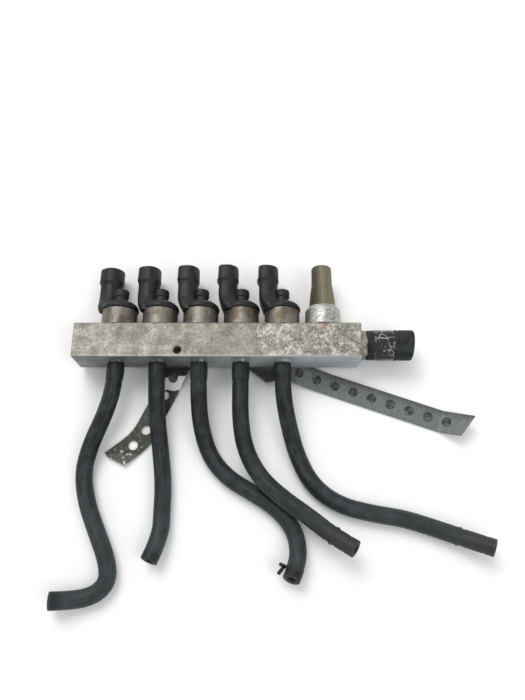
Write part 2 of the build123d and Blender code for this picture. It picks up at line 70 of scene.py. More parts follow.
# Each injector cap's turn about its port in degrees, and how far its tower is drawn out, in mm.
CAPS = ((-34, 0.9), (-18, 0.9), (-10, 0.9), (0, 0.5), (0, 0.2))
INJECTORS = len(CAPS)

# The long strip's turn from the bar's length in degrees, seen from the front.
LONG_STRIP_TURN = 19.0

# The long strip's open holes: centre in mm and the strip's slope there in degrees, down from the bar. Six lie
# 13.2 mm apart on its flat run.
STRIP_HOLES = [
    (138.481, -11.597, -12.75, 0.0), (150.959, -15.894, -12.81, 8.1), (163.302, -20.144, -14.768, 8.5),
    *((175.694 + 12.4808 * i, -24.411 - 4.2974 * i, -16.05, 0.0) for i in range(6)),
    (250.111, -50.035, -14.011, -32.0),
]

# The hole in the short strip's fold, given and filled in the same way; this strip leaves the bar square on.
FOLD_TURN = 90.0
FOLD_HOLES = [(64.42, -19.26, -13.43, 16.7)]

# The points that each outlet hose's middle line goes by, in mm, from its nipple to its open end.
HOSE_ROUTES = [
    [
        (27.5, -13.2, 0), (27.5, -29, 0), (22, -47, -4), (13, -66, -9), (9, -84, -11.3),
        (13, -103, -11.3), (21, -121, -11.3), (29, -138, -11.3), (31, -150, -11.3),
        (25, -158, -11.3), (12, -162, -11.3), (-2.4, -162, -4.4),
    ],
    [
        (55.5, -13.2, 0), (55.5, -29, 0), (56.6, -50, -5), (59.6, -72, -10), (62, -92, -11.3),
        (62, -108, -11.3), (62, -124, -11.3), (56.2, -138.8, -6.3),
    ],
    [
        (83.5, -13.2, 0), (83.5, -31, 0), (85.2, -54, -6), (91.6, -74, -11), (104, -88, -11.3),
        (120, -97, -11.3), (136, -107, -11.3), (146, -119, -11.3), (149, -131, -11.3),
        (147.8, -141.0, -9.5), (144.1, -149.4, -5.0),
    ],
    [
        (111.5, -13.2, 0), (111.5, -30, 0), (111.6, -51, -1), (115, -71, -2.5), (125, -89, -2.5),
        (140, -102, -2.5), (156, -113, -2.5), (170, -124, -2.5), (183, -132, 3),
    ],
    [
        (139.5, -13.2, 0), (139.5, -32, 0), (143, -52, -6), (149, -74, -11), (159, -93, -11.3),
        (176, -105, -11.3), (197, -110, -11.3), (217, -113, -11.3), (236, -119, -11.3),
        (253, -125, -9), (269, -131, -2),
    ],
]

# Collars and grooves that old clamps left near an open end: mm back from the end, and the rise there.
END_COLLARS = {
    4: ((6.0, -0.2), (13.2, -0.25), (15.4, 0.6), (17.6, -0.2)),
    5: ((6.0, -0.2), (20.4, -0.3), (22.2, 0.45)),
}

# A hose's radius, and how far its cuff reaches from the nipple over the barbs, in mm.
HOSE_RADIUS = 5.5
CUFF = 12.5

# The open end from its softened rim over the cut face into the bore: mm back from the end, and the radius.
OPEN_END = ((0.0, 5.15), (-0.25, 4.7), (-0.25, 2.9), (0.1, 2.55), (3.0, 2.5), (16.0, 2.5))

# A node that mixes two colours: its settings, and the output that holds the colour.
COLOUR_MIX = {"output": 2, "data_type": "RGBA"}


# ---- small tools ----


def linear(code):
    """An sRGB hex colour as linear red, green, blue and an alpha of one."""
    parts = [int(code[i : i + 2], 16) / 255 for i in (0, 2, 4)]
    return [c / 12.92 if c <= 0.04045 else ((c + 0.055) / 1.055) ** 2.4 for c in parts] + [1.0]


def connect(tree, node, inputs):
    """Link or set a node's inputs, given by name or number, or else in the node's own order."""
    for name, value in inputs.items() if isinstance(inputs, dict) else enumerate(inputs):
        if isinstance(value, bpy.types.NodeSocket):
            tree.links.new(value, node.inputs[name])
        else:
            node.inputs[name].default_value = value


def add(tree, kind, inputs, output=0, **settings):
    """Add a shader node, give it settings, set or link its inputs, and return one of its outputs.

    The order of a map range's inputs is value, from min, from max, to min, to max.
    """
    made = tree.nodes.new("ShaderNode" + kind)
    for name, value in settings.items():
        setattr(made, name, value)
    connect(tree, made, inputs)
    return made.outputs[output]


def finish_tree(name):
    """A new material with its node tree, its shader and the object's own coordinates."""
    material = bpy.data.materials.new(name)
    material.use_nodes = True
    tree = material.node_tree
    return material, tree, tree.nodes["Principled BSDF"], add(tree, "TexCoord", {}, output=3)


def placed(name, data):
    """A new object that shows the data, linked to the scene."""
    made = bpy.data.objects.new(name, data)
    bpy.context.scene.collection.objects.link(made)
    return made


def new_piece(name, shape, materials, sharp=40.0):
    """Turn a bmesh into a smooth-shaded object that rides with the rail."""
    bmesh.ops.recalc_face_normals(shape, faces=shape.faces)
    mesh = bpy.data.meshes.new(name)
    shape.to_mesh(mesh)
    shape.free()
    for material in materials:
        mesh.materials.append(material)
    mesh.shade_smooth()
    mesh.set_sharp_from_angle(angle=math.radians(sharp))
    piece = placed(name, mesh)
    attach(piece, "root")
    return piece


def skin(shape, rings, cap_first=False, cap_last=False):
    """Join rings of points, each as long as the next, into a skin of quads."""
    rows = [[shape.verts.new(point) for point in ring] for ring in rings]
    count = len(rows[0])
    faces = []
    for low, high in zip(rows, rows[1:]):
        for i in range(count):
            j = (i + 1) % count
            faces.append(shape.faces.new((low[i], low[j], high[j], high[i])))
    if cap_first:
        faces.append(shape.faces.new(rows[0]))
    if cap_last:
        faces.append(shape.faces.new(rows[-1]))
    return faces


def eased(profile, radius, steps=4):
    """A profile of (radius, height) points with each inner corner eased over a short curve."""
    points = [profile[0]]
    for before, corner, after in zip(profile, profile[1:], profile[2:]):
        corner_at = Vector(corner)
        to_before = Vector(before) - corner_at
        to_after = Vector(after) - corner_at
        reach = min(radius, 0.45 * to_before.length, 0.45 * to_after.length)
        start = corner_at + to_before.normalized() * reach
        end = corner_at + to_after.normalized() * reach
        for i in range(steps + 1):
            t = i / steps
            points.append(tuple(start * (1 - t) ** 2 + corner_at * 2 * t * (1 - t) + end * t**2))
    points.append(profile[-1])
    return points


def circle(sides):
    """Cosine and sine of evenly spaced angles round a circle."""
    angles = [2 * math.pi * i / sides for i in range(sides)]
    return [(math.cos(a), math.sin(a)) for a in angles]


def turned(shape, profile, place, sides=72):
    """Spin a profile of (radius, height) in mm; place turns (across, height, across) into a point."""
    around = circle(sides)
    rings = [[place(radius * c, height, radius * s) for c, s in around] for radius, height in profile]
    return skin(shape, rings)


# ---- finishes ----


def bar_finish(settings):
    """Worn aluminium alloy bar, sawn and milled: matt, mottled, with grime and a scuffed bare patch."""
    material, tree, shader, place = finish_tree("aluminium_bar_milled_worn")
    x, y, z = [add(tree, "SeparateXYZ", [place], output=i) for i in range(3)]
    # Grain in metres, detail and roughness of each pattern that handling, dirt and wear leave.
    patterns = (
        (0.009, 6.0, 0.65), (0.0012, 6.0, 0.78), (0.0024, 8.0, 0.85),
        (0.0022, 8.0, 0.75), (0.007, 2.0, 0.5), (0.0013, 3.0, 0.8),
    )
    smudge, specks, mottle, scuffs, blotch, dirt = [
        add(tree, "TexNoise", {"Vector": place, "Scale": 1 / grain, "Detail": detail, "Roughness": rough})
        for grain, detail, rough in patterns
    ]
    smudged = add(tree, "MapRange", (smudge, 0.34, 0.74))
    mottled = add(tree, "MapRange", (mottle, 0.45, 0.64, 0.0, 0.8))
    # Grime specks, thicker towards the inlet.
    speckled = add(tree, "MapRange", (specks, 0.54, 0.66, 0.0, 0.6))
    grimier = add(tree, "MapRange", (x, 0.04, 0.11, 0.6, 1.25))
    speckled = add(tree, "Math", (speckled, grimier), operation="MULTIPLY", use_clamp=True)
    # The patch on the front that a film covered: paler, scuffed through, with a dark line of dirt at its rim.
    face = TOP_FACE * MM
    film_start = 0.12205
    inside_x = add(tree, "MapRange", (x, film_start - 0.00015, film_start + 0.00015))
    inside_y = add(tree, "Math", [y], operation="ABSOLUTE")
    inside_y = add(tree, "MapRange", (inside_y, face - 0.0008, face - 0.0011))
    in_front = add(tree, "Math", (z, face - 0.00015), operation="GREATER_THAN")
    patch = add(tree, "Math", (inside_x, inside_y), operation="MULTIPLY")
    patch = add(tree, "Math", (patch, in_front), operation="MULTIPLY")
    film = add(tree, "MapRange", (scuffs, 0.54, 0.46))
    kept = add(tree, "MapRange", (blotch, 0.42, 0.58, 0.3))
    for factor in (kept, patch, 0.75):
        film = add(tree, "Math", (film, factor), operation="MULTIPLY")
    dirt = add(tree, "MapRange", (dirt, 0.52, 0.6, 0.0, 0.9))
    darkened = add(tree, "MapRange", (blotch, 0.62, 0.42, 0.35))
    for factor in (darkened, patch):
        dirt = add(tree, "Math", (dirt, factor), operation="MULTIPLY")
    edge_line = add(tree, "Math", (x, film_start, 0.00022), operation="COMPARE")
    for factor in (inside_y, in_front, 0.6):
        edge_line = add(tree, "Math", (edge_line, factor), operation="MULTIPLY")
    dirt = add(tree, "Math", (dirt, edge_line), operation="MAXIMUM")
    # A dab of red-brown primer near the top edge, about 4 mm long.
    dab = add(tree, "VectorMath", (place, (0.1677, 0.0092, face)), operation="SUBTRACT")
    dab = add(tree, "VectorMath", (dab, (1.5, 0.8, 1.0)), operation="MULTIPLY")
    dab = add(tree, "VectorMath", [dab], output=1, operation="LENGTH")
    dab = add(tree, "Math", (scuffs, 0.004, dab), operation="MULTIPLY_ADD")
    dab = add(tree, "MapRange", (dab, 0.0044, 0.0036, 0.0, 0.7))
    # The long front edge is paler: rubbed bare, with a painted highlight along it.
    worn_edge_highlight = add(tree, "MapRange", (y, 0.0016 - face, 0.0003 - face, 0.0, 0.8))
    for factor in (in_front, mottle):
        worn_edge_highlight = add(tree, "Math", (worn_edge_highlight, factor), operation="MULTIPLY")
    # Over the clean metal the marks lie in this order.
    layers = (
        (smudged, settings.bar_warm), (mottled, settings.bar_dull), (speckled, settings.bar_grime),
        (film, settings.bar_pale), (dirt, settings.bar_grime), (dab, settings.bar_primer),
        (worn_edge_highlight, settings.bar_pale),
    )
    base = linear(settings.bar_clean)
    for mask, tone in layers:
        base = add(tree, "Mix", {0: mask, 6: base, 7: linear(tone)}, **COLOUR_MIX)
    # The face the nipples leave from gets painted shade, darker and bluer, and a paler painted fill light
    # towards the inlet.
    below = add(tree, "MapRange", (y, 0.0005 - face, 0.0001 - face))
    painted_fill_light = add(tree, "MapRange", (x, 0.06, 0.16))
    painted_underside_shade = linear(settings.bar_underside_shade)
    for mask, tone in ((smudged, settings.bar_underside_shade_dull), (painted_fill_light, settings.bar_underside_fill_lit)):
        painted_underside_shade = add(tree, "Mix", {0: mask, 6: painted_underside_shade, 7: linear(tone)}, **COLOUR_MIX)
    base = add(tree, "Mix", {0: below, 6: base, 7: painted_underside_shade}, **COLOUR_MIX)
    # Bare metal where it is clean, dirt and film where it is not.
    covered = add(tree, "Math", (film, dirt), operation="MAXIMUM")
    bare = add(tree, "MapRange", (covered, 0.0, 1.0, 0.75, 0.1))
    gloss = add(tree, "MapRange", (smudge, 0.3, 0.7, 0.42, 0.62))
    dents = add(tree, "Bump", {"Height": specks, "Strength": 0.35, "Distance": 0.00012})
    connect(tree, shader, {"Base Color": base, "Metallic": bare, "Roughness": gloss, "Normal": dents})
    return material


def worn_metal(name, clean, stained, patch, grain, rough, stretch=(1.0, 1.0, 1.0), metallic=1.0, cover=0.5):
    """A plated or bare metal with a fine grain, and stains about patch metres wide, more as cover grows."""
    material, tree, shader, place = finish_tree(name)
    drawn = add(tree, "Mapping", {"Vector": place, "Scale": stretch})
    stains, fine = [
        add(tree, "TexNoise", {"Vector": drawn, "Scale": 1 / width, "Detail": detail, "Roughness": lively})
        for width, detail, lively in ((patch, 6.0, 0.62), (grain, 3.0, 0.6))
    ]
    stain = add(tree, "MapRange", (stains, 0.62 - 0.3 * cover, 0.72 - 0.2 * cover))
    colour = add(tree, "Mix", {0: stain, 6: linear(clean), 7: linear(stained)}, **COLOUR_MIX)
    gloss = add(tree, "MapRange", (fine, 0.3, 0.7, rough - 0.09, rough + 0.12))
    bump = add(tree, "Bump", {"Height": fine, "Strength": 0.4, "Distance": 0.00006})
    connect(tree, shader, {"Base Color": colour, "Metallic": metallic, "Roughness": gloss, "Normal": bump})
    return material


def stem_finish(settings):
    """Steel stem with olive chromate passivation, drawn and handled: long streaks, browner on one side."""
    material, tree, shader, place = finish_tree("steel_olive_passivated_drawn")
    # Draw marks run along the stem: about 0.7 mm wide and many times longer.
    drawn = add(tree, "Mapping", {"Vector": place, "Scale": (1.0, 0.05, 1.0)})
    streaks = add(tree, "TexNoise", {"Vector": drawn, "Scale": 1 / 0.0016, "Detail": 4.0})
    x = add(tree, "SeparateXYZ", [place])
    side = add(tree, "MapRange", (x, 0.1640, 0.1685))
    olive = add(tree, "Math", (streaks, 2.4, -1.2), operation="MULTIPLY_ADD")
    olive = add(tree, "Math", (side, olive), operation="ADD", use_clamp=True)
    tones = {6: linear(settings.stem_brown), 7: linear(settings.stem_olive)}
    colour = add(tree, "Mix", {0: olive, **tones}, **COLOUR_MIX)
    gloss = add(tree, "MapRange", (streaks, 0.3, 0.7, 0.5, 0.66))
    bump = add(tree, "Bump", {"Height": streaks, "Strength": 0.5, "Distance": 0.00008})
    connect(tree, shader, {"Base Color": colour, "Metallic": 0.6, "Roughness": gloss, "Normal": bump})
    return material


def repaint(material, mask, tone):
    """Lay a tone over a finish's colour where the mask says."""
    tree = material.node_tree
    base = tree.nodes["Principled BSDF"].inputs["Base Color"]
    under = base.links[0].from_socket
    tree.links.new(add(tree, "Mix", {0: mask, 6: under, 7: linear(tone)}, **COLOUR_MIX), base)


def short_strip_finish(settings):
    """Galvanised strip painted dark as in shade: nearly matt, with a painted highlight over its first bend.
    """
    material = worn_metal(
        "steel_strip_galvanised_shaded", settings.strip_shaded, "4A4C4B", 0.003, 0.0009, 0.45,
        metallic=0.55, cover=0.45,
    )
    tree = material.node_tree
    place = add(tree, "TexCoord", {}, output=3)
    y = add(tree, "SeparateXYZ", [place], output=1)
    ragged, painted_glints = [
        add(tree, "TexNoise", {"Vector": place, "Scale": 1 / width, "Detail": detail})
        for width, detail in ((0.004, 4.0), (0.0026, 5.0))
    ]
    y = add(tree, "Math", (ragged, 0.005, y), operation="MULTIPLY_ADD")
    # The painted highlight is about 9 mm wide, and the raised tab at the far end has painted glints in spots.
    painted_highlight = add(tree, "Math", (y, -0.0206, 0.0046), operation="COMPARE")
    tab = add(tree, "MapRange", (y, -0.063, -0.067))
    painted_glints = add(tree, "MapRange", (painted_glints, 0.59, 0.66, 0.0, 0.35))
    tab = add(tree, "Math", (tab, painted_glints), operation="MULTIPLY")
    painted_highlight = add(tree, "Math", (painted_highlight, tab), operation="MAXIMUM")
    repaint(material, painted_highlight, "F4F4F2")
    return material


def long_strip_finish(settings):
    """Hot-dip galvanised punched strip: mid-grey and scuffed, with painted shade along its upper edge, and
    darker at its heel.
    """
    material = worn_metal(
        "steel_strip_galvanised", settings.strip, settings.strip_stain, 0.0014, 0.0008, 0.55,
        metallic=0.6, cover=0.55,
    )
    tree = material.node_tree
    place = add(tree, "TexCoord", {}, output=3)
    x = add(tree, "SeparateXYZ", [place])
    # Metres across the strip from its middle line, which leaves the screw at the strip's turn.
    turn = math.radians(LONG_STRIP_TURN)
    across = add(tree, "VectorMath", (place, (0.126, -0.0073, 0.0)), operation="SUBTRACT")
    square_on = (math.sin(turn), math.cos(turn), 0.0)
    across = add(tree, "VectorMath", (across, square_on), output=1, operation="DOT_PRODUCT")
    ragged = add(tree, "TexNoise", {"Vector": place, "Scale": 1 / 0.006, "Detail": 5.0})
    ragged = add(tree, "Math", (ragged, 0.006, across), operation="MULTIPLY_ADD")
    # Painted shade along the upper edge, and darker at the heel near the bar.
    edge = add(tree, "MapRange", (ragged, 0.005, 0.0105, 0.0, 0.75))
    heel = add(tree, "MapRange", (ragged, 0.001, -0.004))
    near = add(tree, "MapRange", (x, 0.145, 0.138))
    heel = add(tree, "Math", (heel, near), operation="MULTIPLY")
    darkened = add(tree, "Math", (edge, heel), operation="MAXIMUM")
    repaint(material, darkened, "484A47")
    return material


def cap_finish(settings):
    """Glass-filled nylon, injection moulded: near black, satin, with road dust in its texture."""
    material, tree, shader, place = finish_tree("nylon_black_moulded")
    dusty = add(tree, "TexNoise", {"Vector": place, "Scale": 1 / 0.005, "Detail": 6.0, "Roughness": 0.6})
    dust = add(tree, "MapRange", (dusty, 0.45, 0.72, 0.0, 0.55))
    tones = {6: linear(settings.plastic), 7: linear(settings.plastic_dust)}
    colour = add(tree, "Mix", {0: dust, **tones}, **COLOUR_MIX)
    # The mould's spark-eroded texture, drawn at 0.5 mm so that it shows.
    fine = add(tree, "TexNoise", {"Vector": place, "Scale": 1 / 0.0005, "Detail": 2.0})
    gloss = add(tree, "MapRange", (dusty, 0.3, 0.7, 0.4, 0.58))
    bump = add(tree, "Bump", {"Height": fine, "Strength": 0.25, "Distance": 0.00005})
    connect(tree, shader, {"Base Color": colour, "Roughness": gloss, "Normal": bump, "IOR": 1.53})
    connect(tree, shader, {"Specular IOR Level": 0.32})
    return material


def hose_finish(name, rubber, dust, end_colour, end_reach):
    """Nitrile rubber hose cured in a cloth wrap: slanting cloth marks, pale dust streaks that also paint a
    sheen, an aged cut end.
    """
    material, tree, shader, place = finish_tree(name)
    # The hose's own measures: u is one turn round it, v is metres from its end.
    wrap = add(tree, "TexCoord", {}, output=2)
    turn, from_end = [add(tree, "SeparateXYZ", [wrap], output=i) for i in range(2)]
    dusty = add(tree, "TexNoise", {"Vector": place, "Scale": 1 / 0.007, "Detail": 7.0, "Roughness": 0.65})
    # Pale streaks along the hose, dust and painted sheen, about 2 mm wide and 25 mm long, that meet all the
    # way round.
    angle = add(tree, "Math", (turn, 2 * math.pi), operation="MULTIPLY")
    spread = [add(tree, "Math", [angle], operation=wave) for wave in ("COSINE", "SINE")]
    spread.append(add(tree, "Math", (from_end, 16.0), operation="MULTIPLY"))
    spread = add(tree, "CombineXYZ", spread)
    streaks = add(tree, "TexNoise", {"Vector": spread, "Scale": 2.5, "Detail": 5.0, "Roughness": 0.6})
    dust_and_sheen = add(tree, "Math", (streaks, dusty), operation="ADD")
    dust_and_sheen = add(tree, "MapRange", (dust_and_sheen, 0.9, 1.35, 0.0, 0.75))
    # Paler on the far runs, away from the bar.
    run = add(tree, "SeparateXYZ", [place], output=1)
    run = add(tree, "MapRange", (run, -0.06, -0.12, 0.0, 0.38))
    dust_and_sheen = add(tree, "Math", (dust_and_sheen, run), operation="ADD", use_clamp=True)
    aged = add(tree, "MapRange", (from_end, end_reach, 0.4 * end_reach, 0.0, 0.6))
    colour = linear(rubber)
    for mask, tone in ((dust_and_sheen, dust), (aged, end_colour)):
        colour = add(tree, "Mix", {0: mask, 6: colour, 7: linear(tone)}, **COLOUR_MIX)
    gloss = add(tree, "MapRange", (dusty, 0.3, 0.7, 0.46, 0.68))
    # Cloth ribs 1.1 mm apart, winding round the hose.
    ribs = add(tree, "Mapping", {"Vector": wrap, "Scale": (3.0, 1 / 0.0011, 1.0)})
    weave = {"Vector": ribs, "Scale": 0.32, "Distortion": 1.2}
    ribs = add(tree, "TexWave", weave, output=1, bands_direction="DIAGONAL")
    bump = add(tree, "Bump", {"Height": ribs, "Strength": 0.4, "Distance": 0.0002})
    dents = add(tree, "Bump", {"Height": dusty, "Strength": 0.5, "Distance": 0.0004, "Normal": bump})
    connect(tree, shader, {"Base Color": colour, "Roughness": gloss, "Normal": dents})
    connect(tree, shader, {"IOR": 1.52, "Specular IOR Level": 0.32})
    return material


def tape_finish(settings):
    """PVC tape, calendered and wound by hand: glossy black, with sharp creases, and painted glints along its
    folds.
    """
    material, tree, shader, place = finish_tree("pvc_tape_black_glossy")
    ridges = {"Vector": place, "Scale": 1 / 0.0042, "Detail": 4.0, "Distortion": 1.8}
    creases = add(tree, "TexNoise", ridges, noise_type="RIDGED_MULTIFRACTAL")
    cells = {"Vector": place, "Scale": 1 / 0.0075}
    folds = add(tree, "TexVoronoi", cells, feature="DISTANCE_TO_EDGE")
    spot = add(tree, "TexNoise", {"Vector": place, "Scale": 1 / 0.008})
    spot = add(tree, "MapRange", (spot, 0.49, 0.55))
    # Painted glints along the fold lines, in clumps.
    painted_glint = add(tree, "MapRange", (folds, 0.034, 0.01, 0.0, 0.6))
    painted_glint = add(tree, "Math", (painted_glint, spot), operation="MULTIPLY")
    tones = {6: linear(settings.tape), 7: linear(settings.tape_glint)}
    colour = add(tree, "Mix", {0: painted_glint, **tones}, **COLOUR_MIX)
    bump = add(tree, "Bump", {"Height": creases, "Strength": 0.6, "Distance": 0.0005})
    connect(tree, shader, {"Base Color": colour, "Roughness": 0.16, "IOR": 1.54, "Normal": bump})
    return material


def plain_rubber(name, colour):
    """Moulded rubber ring or cut rubber face: matt, even, with a fine torn grain."""
    material, tree, shader, place = finish_tree(name)
    fine = add(tree, "TexNoise", {"Vector": place, "Scale": 1 / 0.0006, "Detail": 4.0})
    shade = add(tree, "MapRange", (fine, 0.35, 0.65))
    darker = [c * 0.6 for c in linear(colour)[:3]] + [1.0]
    mixed = add(tree, "Mix", {0: shade, 6: linear(colour), 7: darker}, **COLOUR_MIX)
    bump = add(tree, "Bump", {"Height": fine, "Strength": 0.4, "Distance": 0.0001})
    connect(tree, shader, {"Base Color": mixed, "Roughness": 0.75, "IOR": 1.52, "Normal": bump})
    return material


def finish_node(node, material):
    """Give a CAD node's object one material."""
    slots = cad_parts[node].data.materials
    slots.clear()
    slots.append(material)


# ---- hoses ----


def smooth_line(route):
    """Points along the NURBS spline that has the hose's route as its control points, in metres."""
    curve = bpy.data.curves.new("route", "CURVE")
    curve.dimensions = "3D"
    curve.resolution_u = 20
    spline = curve.splines.new("NURBS")
    spline.points.add(len(route) - 1)
    for point, place in zip(spline.points, route):
        point.co = (*[c * MM for c in place], 1.0)
    spline.order_u = 3
    spline.use_endpoint_u = True
    holder = placed("route", curve)
    mesh = bpy.data.meshes.new_from_object(holder)
    points = [v.co.copy() for v in mesh.vertices]
    bpy.data.objects.remove(holder)
    bpy.data.curves.remove(curve)
    bpy.data.meshes.remove(mesh)
    return points


def stations(points, step):
    """Evenly spaced points of a line, each with its distance from the start."""
    lengths = [0.0]
    for a, b in zip(points, points[1:]):
        lengths.append(lengths[-1] + (b - a).length)
    count = round(lengths[-1] / step)
    found = []
    k = 0
    for i in range(count + 1):
        along = lengths[-1] * i / count
        while k < len(points) - 2 and lengths[k + 1] < along:
            k += 1
        t = (along - lengths[k]) / (lengths[k + 1] - lengths[k])
        found.append((points[k].lerp(points[k + 1], t), along))
    return found


def hose_radius(along, length, collars):
    """The hose's outer radius in mm: swollen over the nipple's barbs, ringed where a clamp sat."""
    radius = HOSE_RADIUS
    if along < CUFF:
        radius += 0.42 * math.sin(math.pi * min(1.0, (along + 3.0) / (CUFF + 3.0))) ** 0.7
    for at, depth in ((CUFF, 0.32), (CUFF - 1.6, 0.12), (5.4, 0.07), (8.8, 0.07)):
        radius -= depth * math.exp(-(((along - at) / 0.45) ** 2))
    for back, rise in collars:
        radius += rise * math.exp(-(((along - length + back) / 0.9) ** 2))
    return radius


def hose_ring(centre, side, other, radius, sides):
    """One ring of points round a hose."""
    return [centre + side * radius * c + other * radius * s for c, s in circle(sides)]


def hose_shape(number, route, look):
    """An outlet hose with its cuff, marks and open end, and the stations of its middle line."""
    line = stations(smooth_line(route), look.step)
    length = line[-1][1]
    shape = bmesh.new()
    uv = shape.loops.layers.uv.new("UVMap")
    ways = [(b - a).normalized() for (a, _), (b, _) in zip(line, line[1:])]
    ways.append(ways[-1])
    side = Vector((0, 0, 1))
    rings = []
    heights = []
    for (centre, along), way in zip(line, ways):
        side = (side - way * side.dot(way)).normalized()
        other = way.cross(side)
        radius = hose_radius(along / MM, length / MM, END_COLLARS.get(number, ())) * MM
        rings.append(hose_ring(centre, side, other, radius, look.sides))
        heights.append(length - along)
    for back, radius in OPEN_END:
        rings.append(hose_ring(centre - way * back * MM, side, other, radius * MM, look.sides))
        heights.append(0.0)
    faces = skin(shape, rings, cap_last=True)
    for index, face in enumerate(faces):
        row, column = divmod(index, look.sides)
        if row >= len(line):
            face.material_index = 1
        if row < len(rings) - 1:
            corners = ((column, row), (column + 1, row), (column + 1, row + 1), (column, row + 1))
            for loop, (u, v) in zip(face.loops, corners):
                loop[uv].uv = (u / look.sides, heights[v])
    return shape, line


def hex_colour(name, about, default):
    """A colour setting, kept as an sRGB hex value."""
    return bpy.props.StringProperty(name=name, description=f"{about}, sRGB hex", default=default)


def amount(name, about, default, **kind):
    """A number setting, with its unit or subtype."""
    return bpy.props.FloatProperty(name=name, description=about, default=default, **kind)


class RAIL_PG_hoses(bpy.types.PropertyGroup):
    rubber: hex_colour("Rubber", "Hose rubber", "101313")
    # The pale tone is dust, and along the streaks it also paints a sheen.
    dust: hex_colour("Dust", "Dust on the hoses", "3D4649")
    aged: hex_colour("Aged end", "Rubber near a cut end", "35332F")
    cut: hex_colour("Cut face", "Cut rubber at the open end", "34332F")
    sides: bpy.props.IntProperty(name="Sides", description="Faces around each hose", default=36, min=8)
    step: amount("Step", "Distance between rings along a hose", 0.55 * MM, unit="LENGTH")


class RAIL_PG_caps(bpy.types.PropertyGroup):
    plastic: hex_colour("Nylon", "Moulded caps", "141718")
    plastic_dust: hex_colour("Dust", "Dust on the caps", "2F3433")


class RAIL_PG_metals(bpy.types.PropertyGroup):
    bar_clean: hex_colour("Bar", "Clean bar", "9C9991")
    bar_warm: hex_colour("Bar smudge", "Smudges on the bar", "7D7A72")
    bar_dull: hex_colour("Bar dull", "Dull mottling", "5B5952")
    bar_grime: hex_colour("Bar grime", "Grime specks", "3F3B36")
    bar_pale: hex_colour("Bar patch", "Pale scuffed film", "D9D6CE")
    bar_primer: hex_colour("Primer dab", "Red-brown dab", "A4705E")
    # The lower face's tones are painted shade, with paler painted fill light towards the inlet.
    bar_underside_shade: hex_colour("Bar below", "Oiled lower face", "8E9597")
    bar_underside_fill_lit: hex_colour("Bar below, clean", "Cleaner end of the lower face", "CBD3D6")
    bar_underside_shade_dull: hex_colour("Bar below, dull", "Duller patches of the lower face", "67675F")
    can: hex_colour("Can", "Drawn steel can", "8B8880")
    can_stain: hex_colour("Can stain", "Rust film on a can", "6A6054")
    stem_olive: hex_colour("Stem", "Olive passivation", "7F7A64")
    stem_brown: hex_colour("Stem brown", "Browner side", "504A39")
    zinc: hex_colour("Zinc", "Zinc plate", "C9CAC6")
    strip: hex_colour("Strip", "Galvanised strip", "787D7E")
    # The short strip's dark tone is painted shade.
    strip_shaded: hex_colour("Strip, dark", "Tarnished strip", "37372F")
    strip_stain: hex_colour("Strip stain", "Stained zinc", "676A68")


class RAIL_PG_tape(bpy.types.PropertyGroup):
    tape: hex_colour("Tape", "Tape on the inlet hose", "1D2021")
    # The tape's pale tone paints glints on its folds.
    tape_glint: hex_colour("Scuffs", "Scuffed tape", "D2D6D5")
    crease: amount("Crease", "Height of the tape's folds", 0.35 * MM, unit="LENGTH")


class RAIL_PG_stage(bpy.types.PropertyGroup):
    target: bpy.props.FloatVectorProperty(
        name="Target", description="Point the camera looks at", subtype="TRANSLATION",
        default=(0.1262, -0.0075, 0.012),
    )
    distance: amount("Distance", "Camera distance", 0.4127, unit="LENGTH")
    tilt: amount("Tilt", "Camera leaning from square on", math.radians(19.2), subtype="ANGLE")
    swing: amount("Swing", "Camera to the right", math.radians(0.36), subtype="ANGLE")
    roll: amount("Roll", "Camera roll", math.radians(0.16), subtype="ANGLE")
    lens: amount("Lens", "Focal length in mm on a 36 mm side", 32.3)
    floor: hex_colour("Floor", "Floor", "FFFFFF")
    sky: amount("Sky", "Strength of the even light", 0.6)
    key: amount("Key", "Main lamp", 36.0, unit="POWER")
    fill: amount("Fill", "Second lamp", 12.0, unit="POWER")


class RAIL_OT_camera(bpy.types.Operator):
    """Place the camera in front of the rail, leaning towards its hoses"""

    bl_idname = "rail.camera"
    bl_label = "Camera"

    def execute(self, context):
        view = context.scene.rail_stage
        level = math.cos(view.swing)
        away = Vector((math.sin(view.swing), -math.sin(view.tilt) * level, math.cos(view.tilt) * level))
        across = Vector((0, 1, 0)).cross(away).normalized()
        up = away.cross(across)
        right = across * math.cos(view.roll) + up * math.sin(view.roll)
        above = up * math.cos(view.roll) - across * math.sin(view.roll)
        data = bpy.data.cameras.new("camera")
        data.lens = view.lens
        data.sensor_width = 36.0
        data.sensor_fit = "AUTO"
        data.clip_start = 0.01
        camera = placed("camera", data)
        place = Matrix((right, above, away)).transposed().to_4x4()
        place.translation = Vector(view.target) + away * view.distance
        camera.matrix_world = place
        context.scene.camera = camera
        return {"FINISHED"}


class RAIL_OT_hoses(bpy.types.Operator):
    """Lay the outlet hoses from their nipples to their open ends"""

    bl_idname = "rail.hoses"
    bl_label = "Outlet hoses"

    def execute(self, context):
        look = context.scene.rail_hoses
        rubber = hose_finish("rubber_hose_cloth_cured", look.rubber, look.dust, look.rubber, 0.008)
        worn = hose_finish("rubber_hose_cloth_cured_aged_end", look.rubber, look.dust, look.aged, 0.034)
        cut = plain_rubber("rubber_hose_cut", look.cut)
        clamp = clamp_piece()
        for number, route in enumerate(HOSE_ROUTES, start=1):
            shape, line = hose_shape(number, route, look)
            outside = worn if number in END_COLLARS else rubber
            piece = new_piece(f"hose_{number}", shape, [outside, cut])
            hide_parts(f"outlet_hose_{number}")
        return {"FINISHED"}


